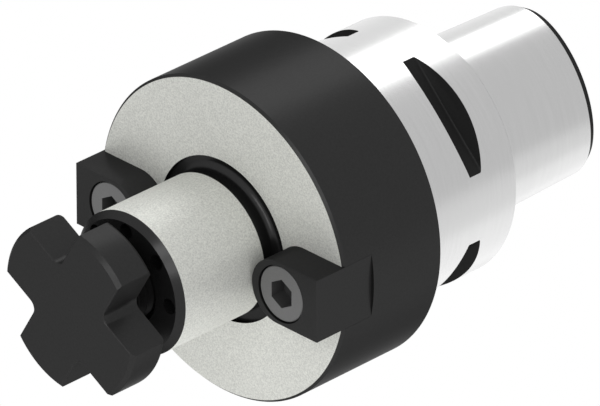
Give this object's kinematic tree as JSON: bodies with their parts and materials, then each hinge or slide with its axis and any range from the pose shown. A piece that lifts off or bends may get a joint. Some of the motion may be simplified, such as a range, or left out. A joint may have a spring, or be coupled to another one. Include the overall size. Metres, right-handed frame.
{
  "type": "shell mill adapter",
  "caption": "Shell mill adapter with a polygon taper shank, gripper flange, big collar, driving keys, and a pilot with a cross-head clamping screw.",
  "frame": {"origin": "centre of the gauge face, where the flange meets the machine spindle", "axes": "+Z along the tool axis from the shank to the pilot; +X through the middle of the right driving key; +Y through one lobe of the polygon shank"},
  "size_m": [0.05, 0.05, 0.0944],
  "materials": {
    "body_steel": "hardened steel, ground bright on shank, flange, face and pilot, black oxide on the collar",
    "black_oxide_steel": "steel with a satin black oxide finish",
    "screw_steel": "phosphated dark grey steel"
  },
  "bodies": {
    "holder": {"holder_body": "body_steel", "drive_key_right": "black_oxide_steel", "drive_key_left": "black_oxide_steel", "key_screw_right": "screw_steel", "key_screw_left": "screw_steel"},
    "clamping_screw": {"cutter_clamping_screw": "black_oxide_steel"}
  },
  "joints": [
    {"name": "clamping_screw_travel", "type": "slide", "parent": "holder", "child": "clamping_screw", "axis": [0, 0, 1], "range_m": [-0.0048, 0.0133]}
  ]
}
